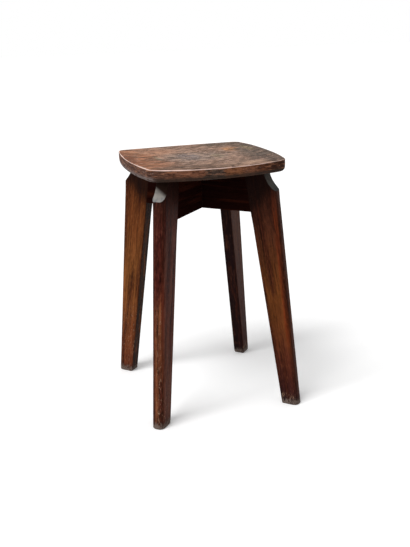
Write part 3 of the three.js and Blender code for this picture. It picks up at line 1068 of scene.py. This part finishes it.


# %% [markdown]
# Old boards differ, so each leg has its own tones. Stops give a height in millimetres and a colour, and on
# every leg they darken towards the top as painted shade under the seat. A strip is a direction and a spread
# in degrees, a lower and an upper height, how much it shows, and its colour. Specks are placed in the same
# way, and end with how many there are.

# %% Tones of the legs and rails
# Each leg also sets how bright its scoop's grey and painted sheen are, and how dark the seat's painted shadow
# on it is.
leg_finishes = {
    "back_left": dict(
        stops=[(0, (0.1, 0.026, 0.0125)), (90, (0.14, 0.039, 0.0137)), (210, (0.2, 0.068, 0.019)),
               (330, (0.13, 0.038, 0.011)), (430, (0.06, 0.0145, 0.005))],
        fleck=(0.23, 0.088, 0.03),
        # The strip at 180 is painted shade on the inner edge face, which is turned from the light.
        strips=[(180, 45, 0, 460, 0.9, (0.016, 0.011, 0.01)), (20, 50, 0, 460, 0.75, (0.05, 0.015, 0.008))],
        specks=[(125, 50, 20, 140, 0.14)],
    ),
    "front_left": dict(
        stops=[(0, (0.083, 0.024, 0.013)), (110, (0.104, 0.028, 0.0125)), (230, (0.09, 0.0185, 0.009)),
               (350, (0.06, 0.013, 0.008)), (430, (0.045, 0.012, 0.007))],
        fleck=(0.15, 0.05, 0.032),
        # The strip at 90 is a painted sheen on the face turned to the right, and the one at 14 is wear and a
        # painted highlight along the rounded corner.
        strips=[(90, 40, 0, 330, 0.75, (0.12, 0.045, 0.032)), (14, 24, 0, 220, 0.9, (0.22, 0.074, 0.03)),
                (-60, 50, 0, 460, 0.6, (0.035, 0.008, 0.008))],
        # The specks at 18 are chips and a painted highlight along the rounded corner.
        specks=[(18, 24, 0, 210, 0.165), (60, 60, 0, 60, 0.12)], streaky=1.3, scoop_brightness=0.85, shadow=1.0,
        seat_shade_line=(0.392, 0.25, 0.03), red=(0.06, 0.009, 0.008),
    ),
    "front_right": dict(
        stops=[(0, (0.026, 0.0085, 0.0095)), (90, (0.07, 0.0165, 0.0085)), (210, (0.125, 0.038, 0.0095)),
               (330, (0.066, 0.019, 0.009)), (430, (0.028, 0.008, 0.006))],
        fleck=(0.13, 0.04, 0.018),
        # The strip at 0 is painted shade on the outer edge face, which is turned from the light.
        strips=[(0, 60, 0, 460, 0.85, (0.045, 0.012, 0.006)),
                (-60, 30, 150, 360, 0.75, (0.19, 0.036, 0.011))],
        specks=[(-50, 40, 0, 60, 0.06), (-90, 70, 0, 9, 0.2)], scoop_brightness=0.28,
    ),
    "back_right": dict(
        stops=[(0, (0.03, 0.01, 0.009)), (120, (0.046, 0.011, 0.006)), (260, (0.078, 0.027, 0.015)),
               (430, (0.06, 0.022, 0.012))],
        fleck=(0.1, 0.04, 0.025),
        # This strip is painted shade on the inner edge face, which lies in the seat's shadow.
        strips=[(180, 70, 0, 460, 1.0, (0.014, 0.005, 0.005))],
        specks=[(-100, 70, 0, 14, 0.2)], streaky=0.7,
    ),
}
# Nearly black: the rails' dark varnish brown also carries painted shade from under the seat.
RAIL_SHADED_BROWN = (0.016, 0.004, 0.003)
rail_finish = dict(stops=[(0, RAIL_SHADED_BROWN), (seat_high, RAIL_SHADED_BROWN)], fleck=(0.026, 0.006, 0.004),
                   streaky=0.6, gloss=0.0)
rail_finish_seeds = {"front_left": 13.3, "front_right": 14.3}

for corner, facts in leg_finishes.items():
    finish_seed = corners[corner][1] / 10
    legs[corner].data.materials.append(varnish(f"leg_varnish_{corner}", finish_seed, **facts))
for side, finish_seed in rail_finish_seeds.items():
    rails[side].data.materials.append(varnish(f"rail_varnish_{side}", finish_seed, **rail_finish))
print("varnished:", len(leg_finishes), "legs and", len(rail_finish_seeds), "rails")

# %% [markdown]
# The seat's top is the most worn face. Varnish is left as a warm orange brown at the left end and in a patch
# near the right, and the middle is worn through to grey wood with faint marks. A painted picture would show
# its pixels close up, so each patch is an ellipse instead, whose edge is broken up by clouds. An edge band
# is a stretch of the seat's front with a tone of its own.

# %% Patches and bands of the seat
top_level = 0.455


def patch(f, board, centre, size, edge, seed):
    """1 inside an ellipse on the seat, 0 outside it, with a ragged edge."""
    middle, reach = (centre[0] * MM, centre[1] * MM, top_level), (size[0] * MM, size[1] * MM, 1)
    moved = f.node("VectorMath", {"operation": "SUBTRACT"}, {0: board, 1: middle})
    scaled = f.node("VectorMath", {"operation": "DIVIDE"}, {0: moved, 1: reach})
    away = f.node("VectorMath", {"operation": "LENGTH"}, {0: scaled}, "Value")
    ragged = f.cloud(board, (45, 70, 30), seed, 4.0, 0.65)
    return f.rise(away + 0.9 * ragged, 1.45 + edge, 1.45 - edge)


# Centre and size in millimetres, softness of the edge, how much it shows, and its colour
top_patches = [
    ((-122, 0), (60, 160), 0.5, 0.95, (0.345, 0.145, 0.073)),
    ((-130, -8), (20, 95), 0.45, 0.85, (0.25, 0.09, 0.043)),
    ((-58, 84), (38, 34), 0.45, 0.85, (0.43, 0.22, 0.135)),
    ((88, 48), (23, 26), 0.3, 1.0, (0.52, 0.25, 0.11)),
    ((-8, -4), (62, 48), 0.4, 0.6, (0.255, 0.2, 0.165)),
    ((-16, 2), (18, 36), 0.5, 0.55, (0.17, 0.155, 0.165)),
    ((122, -20), (44, 140), 0.4, 1.0, (0.105, 0.08, 0.063)),
    ((100, -98), (42, 34), 0.4, 0.85, (0.13, 0.09, 0.071)),
    ((84, 116), (44, 22), 0.4, 0.9, (0.1, 0.075, 0.055)),
    ((110, 40), (7, 30), 0.5, 0.5, (0.19, 0.16, 0.07)),
    ((34, -12), (10, 20), 0.5, 0.4, (0.23, 0.2, 0.1)),
    ((-75, -2), (5, 24), 0.5, 0.6, (0.14, 0.15, 0.1)),
    ((-50, -120), (66, 22), 0.4, 0.85, (0.14, 0.083, 0.055)),
    ((52, -112), (34, 17), 0.4, 0.75, (0.46, 0.29, 0.2)),
]
# From and to along the front edge in millimetres, and the colour between them
edge_bands = [
    (-92, -34, (0.2, 0.08, 0.045)), (-32, 0, (0.095, 0.062, 0.047)), (3, 36, (0.27, 0.105, 0.048)),
    (38, 62, (0.2, 0.08, 0.043)), (64, 88, (0.15, 0.053, 0.026)), (90, 140, (0.06, 0.022, 0.013)),
]
print("patches on the top:", len(top_patches), "bands on the edge:", len(edge_bands))

# %% [markdown]
# Over the patches the top is mottled, as wood is whose varnish went in flakes: broad blotches, dark stains
# and pores drawn out along the grain, small spots round the middle where people sit, and pale scuffs.

# %% Colours of the worn top
TOP_BROWN, TOP_TAN = (0.25, 0.15, 0.104), (0.33, 0.207, 0.147)
SCUFF = (0.62, 0.4, 0.29)
middle_centre, middle_size, middle_edge = (5, -6), (95, 95), 0.5


def worn_top(f, board, mottle, streak, fine, pale):
    """The top's colour: patches of varnish and grey wood, mottled along the grain."""
    colour = f.blend(f.rise(mottle, 0.4, 0.6), TOP_BROWN, TOP_TAN)
    for number, (centre, size, edge, share, paint) in enumerate(top_patches):
        colour = f.blend(share * patch(f, board, centre, size, edge, 4.0 * number + 1), colour, paint)
    blotches = f.cloud(board, (34, 115, 90), 11.0, 3.0, 0.62, 0.2)
    spots = f.cloud(board, (105, 190, 200), 7.0, 3.0, 0.7)
    middle = patch(f, board, middle_centre, middle_size, middle_edge, 2.0)
    colour = f.stained(f.shaded(colour, 0.78 + 0.6 * f.rise(blotches, 0.42, 0.58)), (
        (0.85, mottle, 0.485, 0.4, (0.045, 0.026, 0.019)),
        (0.7, streak, 0.52, 0.62, (0.07, 0.04, 0.028)),
        (0.45, fine, 0.52, 0.7, (0.05, 0.028, 0.02)),
        (0.3 + 0.35 * middle, spots, 0.48, 0.38, (0.05, 0.032, 0.028)),
        (0.65 * middle, spots, 0.57, 0.65, (0.6, 0.45, 0.38)),
    ))
    return f.blend(0.62 * pale, colour, SCUFF)


# %% [markdown]
# The seat's side keeps more of its varnish. Bands of tone follow each other along the front, dark and light
# lines run along it, and grit sits in them. The left end is paler below, with dust and a painted sheen, and
# elsewhere the lower edge is nearly black where the side turns under.

# %% Colours of the seat's side
SIDE_BROWN, SIDE_BLACK = (0.11, 0.05, 0.033), (0.05, 0.035, 0.028)
SIDE_DUST_AND_SHEEN, SIDE_GRIT = (0.25, 0.21, 0.2), (0.42, 0.33, 0.3)
band_fade = 0.005


def scuffed_side(f, board, across, tall):
    """The side's colour: bands along the front, dust and a painted sheen at the left end, and a dark lower
    edge.
    """
    grit = f.cloud(board, (110, 110, 260), 2.0, 4.0, 0.75)
    lines = f.cloud(board, (62, 62, 360), 3.0, 4.0, 0.75, 0.4)
    shifted = across + 0.03 * f.cloud(board, (45, 45, 160), 6.0) - 0.015
    colour = SIDE_BROWN
    for low, high, paint in edge_bands:
        colour = f.blend(f.between(shifted, low * MM, high * MM, band_fade), colour, paint)
    colour = f.stained(colour, (
        (0.6, lines, 0.52, 0.62, (0.48, 0.21, 0.115)),
        (0.8, lines, 0.48, 0.39, (0.03, 0.014, 0.01)),
        (0.6, grit, 0.48, 0.38, (0.025, 0.012, 0.009)),
    ))
    left_end = f.rise(shifted, -0.104, -0.122)
    # The left end's lower part is paler: dust, and a painted sheen of the floor's reflection where it turns
    # under.
    dusty = left_end * f.rise(tall + 0.01 * grit, 0.4525, 0.4455) * f.rise(lines, 0.36, 0.54)
    colour = f.blend(0.8 * dusty, colour, SIDE_DUST_AND_SHEEN)
    colour = f.blend(0.5 * (left_end + 0.25) * f.rise(grit, 0.56, 0.68), colour, SIDE_GRIT)
    return f.blend(0.8 * (1 - left_end) * f.rise(tall, 0.4455, 0.4405), colour, SIDE_BLACK)


# %% [markdown]
# The seat's finish puts the two together. Between them the upper arris is rubbed to bare pale wood, in a
# line that clouds make thinner and wider, and that is fainter towards the right.

# %% Finish of the seat
ARRIS_PALE = (0.76, 0.56, 0.49)


def seat_finish():
    f = new_finish("seat_varnish")
    board = f.mark("board", "Vector")
    rim, side = f.mark("rim"), f.mark("side")
    across, tall = (f.node("SeparateXYZ", {}, {"Vector": board}, axis) for axis in "XZ")
    streak = f.cloud(board, (14, 210, 90), 0.0, 4.0, 0.6, 0.2)
    fine = f.cloud(board, (60, 1100, 400), 0.0)
    mottle = f.cloud(board, (42, 135, 90), 4.0, 5.0, 0.74, 0.3)
    pale = f.rise(f.cloud(board, (58, 190, 160), 9.0, 4.0, 0.74), 0.55, 0.63)
    top = worn_top(f, board, mottle, streak, fine, pale)
    colour = f.blend(side, top, scuffed_side(f, board, across, tall))
    line = f.rise(rim + 0.5 * f.cloud(board, (60, 60, 60)), 0.78, 0.98)
    fainter = 1 - 0.3 * f.rise(across, 0.02, 0.1)
    colour = f.blend(line * fainter, colour, ARRIS_PALE)
    height = 0.6 * streak + 0.3 * fine + 0.5 * mottle + 0.4 * pale
    return f.surface(Base_Color=colour, Roughness=0.6 + 0.2 * streak, Normal=f.bumped(height, 0.0005),
                     Specular_IOR_Level=0.05)


seat.data.materials.append(seat_finish())
print("nodes in the seat's finish:", len(seat.data.materials[0].node_tree.nodes))

# %% [markdown]
# The dowels are bare hardwood, and the screws are dull steel with fine turning marks round them.

# %% Bare wood and steel
def dowel_finish():
    f = new_finish("dowel_wood")
    board = f.mark("board", "Vector")
    grain = f.cloud(board, (30, 900, 900), 0.0, 4.0)
    colour = f.blend(f.rise(grain, 0.35, 0.7), (0.5, 0.3, 0.14), (0.34, 0.18, 0.08))
    return f.surface(Base_Color=colour, Roughness=0.6 + 0.2 * grain, Normal=f.bumped(grain, 0.0002))


def screw_finish():
    f = new_finish("screw_steel")
    board = f.mark("board", "Vector")
    turning = f.cloud(board, (200, 200, 4000), 0.0, 2.0)
    stain = f.cloud(board, (260, 260, 120), 0.0, 4.0, 0.65)
    colour = f.blend(f.rise(stain, 0.45, 0.7), (0.3, 0.29, 0.27), (0.14, 0.09, 0.06))
    return f.surface(Base_Color=colour, Metallic=1.0, Roughness=0.35 + 0.35 * stain,
                     Normal=f.bumped(turning, 0.00005))


bare_wood, steel = dowel_finish(), screw_finish()
for dowel in dowels.values():
    dowel.data.materials.append(bare_wood)
for screw in screws.values():
    screw.data.materials.append(steel)
for finish in (bare_wood, steel):
    print("nodes in", finish.name, len(finish.node_tree.nodes))

# %% [markdown]
# Each piece takes the place of its solid, and the solid stays in the frame for the physics. Nothing on a
# stool moves, so every piece rides on the root body.

# %% Join the pieces to the frame
pieces = {"seat": (seat, "seat_wood")}
for corner in corners:
    pieces[f"leg_{corner}"] = (legs[corner], "frame_wood")
    pieces[f"seat_screw_{corner}"] = (screws[corner], "screw_steel")
    for level in dowel_heights:
        pieces[f"dowel_{corner}_{level}"] = (dowels[corner, level], "dowel_wood")
for side, rail in rails.items():
    pieces[f"cross_rail_{side}"] = (rail, "frame_wood")
for node, (piece, finish) in pieces.items():
    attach(piece, "root")
    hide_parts(node)
print("pieces:", len(pieces))

# %% [markdown]
# The floor is a plain pale sheet. What the camera sees of it is nearly white and lifted by a little light
# of its own, so that it meets the white background without an edge and keeps only the stool's shadow. For
# the light that bounces off it, it is a darker grey, or it would light the stool too much from below.

# %% Floor and background
floor_reach = 30
PAPER_SEEN, PAPER_UNSEEN, WHITE = (0.97, 0.97, 0.97), (0.3, 0.3, 0.3), (1, 1, 1)
paper_glow, sky_light = 0.1, 0.58

floor_mesh = bpy.data.meshes.new("floor")
square = ((-1, -1), (1, -1), (1, 1), (-1, 1))
floor_mesh.from_pydata([(x * floor_reach, y * floor_reach, 0) for x, y in square], [], [(0, 1, 2, 3)])
floor = add_to_scene("floor", floor_mesh)


def rays_that_see(f):
    """1 for rays that show the background itself, 0 for those that only carry its light."""
    kinds = ("Is Camera Ray", "Is Glossy Ray", "Is Transmission Ray")
    camera_ray, glossy_ray, clear_ray = (f.node("LightPath", {}, {}, kind) for kind in kinds)
    return camera_ray + glossy_ray + clear_ray


f = new_finish("floor_paper")
seen = rays_that_see(f)
paper = f.node("BsdfDiffuse", {}, {"Color": f.blend(seen, PAPER_UNSEEN, PAPER_SEEN)})
glow = f.node("Emission", {}, {"Color": WHITE, "Strength": paper_glow * seen})
floor_mesh.materials.append(f.shown(f.node("AddShader", {}, {0: paper, 1: glow})))

world = bpy.data.worlds.new("studio")
bpy.context.scene.world = world
f = Finish(world)
brightness = sky_light + (1 - sky_light) * rays_that_see(f)
f.node("OutputWorld", {}, {"Surface": f.node("Background", {}, {"Color": WHITE, "Strength": brightness})})
print("floor:", 2 * floor_reach, "m wide, sky light", sky_light)

# %% [markdown]
# Two suns with wide discs light the stool, as two large soft boxes would. A sun's light is the same all over
# the floor, so the paper is lit evenly right up to the horizon. The key stands high at the front left, and
# the second sun low on the left, where it throws the longer, fainter shadows to the right.

# %% Lamps
def sun(name, towards, width, strength):
    """A soft sun that stands in the direction towards, with a disc of width degrees."""
    light = bpy.data.lights.new(name, "SUN")
    light.angle, light.energy = math.radians(width), strength * math.pi
    add_to_scene(name, light).rotation_euler = Vector(towards).to_track_quat("Z", "Y").to_euler()
    print("sun", name, "stands", round(math.degrees(math.asin(towards[2]))), "degrees high")


sun("key", (-0.437, -0.242, 0.866), width=26, strength=0.46)
sun("side", (-0.893, -0.157, 0.423), width=20, strength=0.26)

# %% [markdown]
# Colours are shown as they are written, without a film's look.

# %% Finish
bpy.context.scene.view_settings.view_transform = "Standard"
